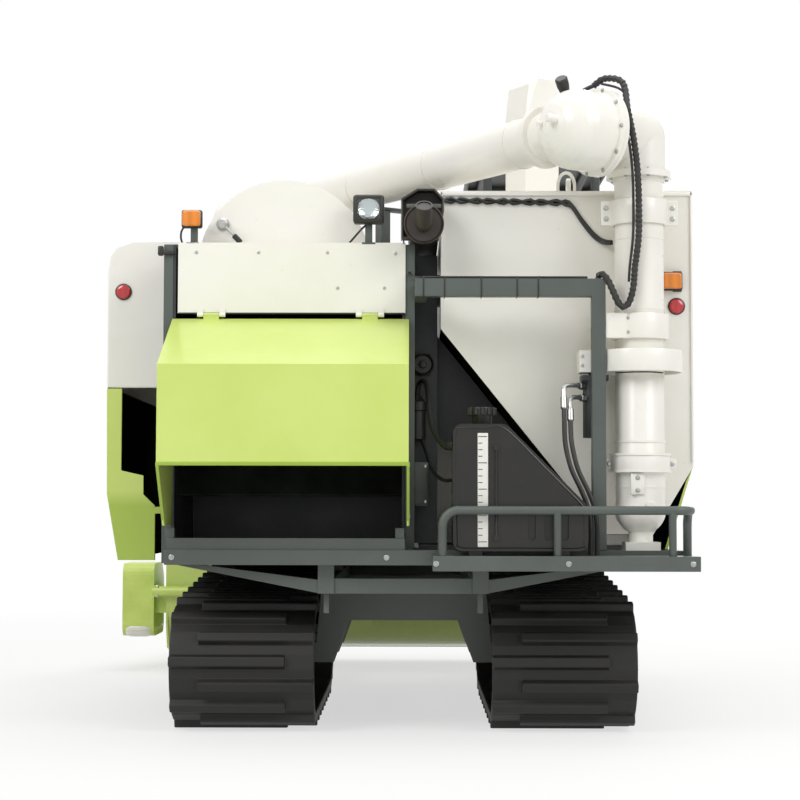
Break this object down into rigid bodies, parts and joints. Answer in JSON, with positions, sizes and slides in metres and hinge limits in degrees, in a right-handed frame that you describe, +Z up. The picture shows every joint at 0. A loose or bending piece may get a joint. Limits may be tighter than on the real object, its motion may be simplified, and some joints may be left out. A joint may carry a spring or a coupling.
{
  "type": "tracked combine harvester",
  "caption": "Rubber-tracked rice combine: header with feathering reel, feeder house, axial thresher with straw hood, grain tank and swinging unloading auger.",
  "frame": {"origin": "on the ground, under the middle of the whole outline", "axes": "+X to the machine's right, +Y forward, +Z up"},
  "size_m": [2.596, 4.8, 2.7],
  "materials": {
    "lime": "semi-gloss",
    "cream": "semi-gloss",
    "frame_grey": "satin",
    "track_rubber": "matte",
    "cast": "satin",
    "steel": "satin",
    "body_grey": "satin",
    "black_plastic": "satin",
    "dark_plastic": "satin",
    "seat_fabric": "matte",
    "rod_chrome": "polished",
    "muffler_steel": "matte",
    "hose_rubber": "matte",
    "lime_plastic": "gloss",
    "lamp_plastic": "gloss"
  },
  "bodies": {
    "machine": {"chassis_frame": "frame_grey", "body_frame": "frame_grey", "track_frames": "frame_grey", "track_left": "track_rubber", "track_right": "track_rubber", "track_wheels": "cast", "drive_sprockets": "cast", "gearbox": "cast", "engine": "cast", "engine_housing": "cream", "thresher_body": "body_grey", "drum_cover": "cream", "rear_panel": "cream", "left_upper_cover": "cream", "left_lower_cover": "lime", "side_drive": "steel", "right_lower_cover": "lime", "grain_tank": "cream", "tank_roof": "cream", "elevator_head": "cream", "exhaust": "muffler_steel", "rear_platform": "frame_grey", "guard_rail": "frame_grey", "fuel_tank": "black_plastic", "fuel_fittings": "black_plastic", "unloader_base": "cream", "unloader_support": "frame_grey", "ring_guard": "cream", "swing_motor": "cast", "motor_hoses": "hose_rubber", "boom_cradle": "frame_grey", "rear_lamps": "lamp_plastic", "station_floor": "frame_grey", "control_console": "dark_plastic", "seat_base": "dark_plastic", "seat_pads": "seat_fabric", "canopy_frame": "frame_grey", "canopy_roof": "dark_plastic"},
    "header": {"feeder_house": "lime", "header_platform": "lime", "cutter_bar": "steel", "crop_dividers": "lime_plastic", "header_drive": "lime_plastic"},
    "header_auger": {"header_auger": "steel"},
    "reel_arms": {"reel_arms": "frame_grey"},
    "reel": {"reel": "lime"},
    "tine_bar_1": {"tine_bar_1": "frame_grey"},
    "tine_bar_2": {"tine_bar_2": "frame_grey"},
    "tine_bar_3": {"tine_bar_3": "frame_grey"},
    "tine_bar_4": {"tine_bar_4": "frame_grey"},
    "tine_bar_5": {"tine_bar_5": "frame_grey"},
    "feather_ring": {"feather_ring": "lime"},
    "lift_barrel": {"lift_barrel": "frame_grey"},
    "lift_rod": {"lift_rod": "rod_chrome"},
    "reel_barrels": {"reel_barrels": "frame_grey"},
    "reel_rods": {"reel_rods": "rod_chrome"},
    "unloader_column": {"unloader_column": "cream"},
    "unloader_boom": {"unloader_boom": "cream"},
    "straw_hood": {"straw_hood": "lime"},
    "engine_screen": {"engine_screen": "dark_plastic"}
  },
  "joints": [
    {"name": "header_lift", "type": "hinge", "parent": "machine", "child": "header", "pos_m": [-0.284, 0.045, 1.18], "axis": [1, 0, 0], "range_deg": [0, 20]},
    {"name": "lift_barrel_pivot", "type": "hinge", "parent": "machine", "child": "lift_barrel", "pos_m": [-0.033, -0.125, 0.585], "axis": [1, 0, 0], "range_deg": [-1, 19.21]},
    {"name": "lift_rod_slide", "type": "slide", "parent": "lift_barrel", "child": "lift_rod", "axis": [0, 0.9558, -0.2941], "range_m": [-0.005, 0.219]},
    {"name": "header_auger_spin", "type": "hinge", "parent": "header", "child": "header_auger", "pos_m": [0.042, 0.895, 0.345], "axis": [1, 0, 0], "continuous": true},
    {"name": "reel_lift", "type": "hinge", "parent": "header", "child": "reel_arms", "pos_m": [0.042, 0.649, 0.77], "axis": [1, 0, 0], "range_deg": [0, 18]},
    {"name": "reel_barrel_pivot", "type": "hinge", "parent": "header", "child": "reel_barrels", "pos_m": [0.042, 0.77, 0.56], "axis": [1, 0, 0], "range_deg": [-1, 16.03]},
    {"name": "reel_rod_slide", "type": "slide", "parent": "reel_barrels", "child": "reel_rods", "axis": [0, 0.7733, 0.6341], "range_m": [-0.003, 0.0767]},
    {"name": "reel_spin", "type": "hinge", "parent": "reel_arms", "child": "reel", "pos_m": [0.042, 1.4, 0.87], "axis": [1, 0, 0], "continuous": true},
    {"name": "feather_ring_spin", "type": "hinge", "parent": "reel_arms", "child": "feather_ring", "pos_m": [0.042, 1.4, 0.94], "axis": [1, 0, 0], "continuous": true},
    {"name": "tine_bar_1_turn", "type": "hinge", "parent": "reel", "child": "tine_bar_1", "pos_m": [0.042, 1.4, 1.21], "axis": [1, 0, 0], "continuous": true},
    {"name": "tine_bar_2_turn", "type": "hinge", "parent": "reel", "child": "tine_bar_2", "pos_m": [0.042, 1.07664, 0.97507], "axis": [1, 0, 0], "continuous": true},
    {"name": "tine_bar_3_turn", "type": "hinge", "parent": "reel", "child": "tine_bar_3", "pos_m": [0.042, 1.20015, 0.59493], "axis": [1, 0, 0], "continuous": true},
    {"name": "tine_bar_4_turn", "type": "hinge", "parent": "reel", "child": "tine_bar_4", "pos_m": [0.042, 1.59985, 0.59493], "axis": [1, 0, 0], "continuous": true},
    {"name": "tine_bar_5_turn", "type": "hinge", "parent": "reel", "child": "tine_bar_5", "pos_m": [0.042, 1.72336, 0.97507], "axis": [1, 0, 0], "continuous": true},
    {"name": "unloader_swing", "type": "hinge", "parent": "machine", "child": "unloader_column", "pos_m": [1.076, -2.06, 1.4], "axis": [0, 0, 1], "range_deg": [0, 180]},
    {"name": "unloader_lift", "type": "hinge", "parent": "unloader_column", "child": "unloader_boom", "pos_m": [1.076, -2.06, 2.262], "axis": [0.8387, 0.5446, 0], "range_deg": [0, 40]},
    {"name": "straw_hood_hinge", "type": "hinge", "parent": "machine", "child": "straw_hood", "pos_m": [-0.258, -1.974, 1.593], "axis": [-1, 0, 0], "range_deg": [0, 55]},
    {"name": "engine_screen_hinge", "type": "hinge", "parent": "machine", "child": "engine_screen", "pos_m": [1.261, -0.561, 1], "axis": [0, 0, -1], "range_deg": [0, 85]}
  ],
  "couplings": [
    {"joint": "lift_barrel_pivot", "follows": "header_lift", "ratio": 0.88526},
    {"joint": "lift_rod_slide", "follows": "header_lift", "m_per_rad": 0.61025},
    {"joint": "reel_barrel_pivot", "follows": "reel_lift", "ratio": 0.80746},
    {"joint": "reel_rod_slide", "follows": "reel_lift", "m_per_rad": 0.23133},
    {"joint": "feather_ring_spin", "follows": "reel_spin", "ratio": 1},
    {"joint": "tine_bar_1_turn", "follows": "reel_spin", "ratio": -1},
    {"joint": "tine_bar_2_turn", "follows": "reel_spin", "ratio": -1},
    {"joint": "tine_bar_3_turn", "follows": "reel_spin", "ratio": -1},
    {"joint": "tine_bar_4_turn", "follows": "reel_spin", "ratio": -1},
    {"joint": "tine_bar_5_turn", "follows": "reel_spin", "ratio": -1}
  ]
}
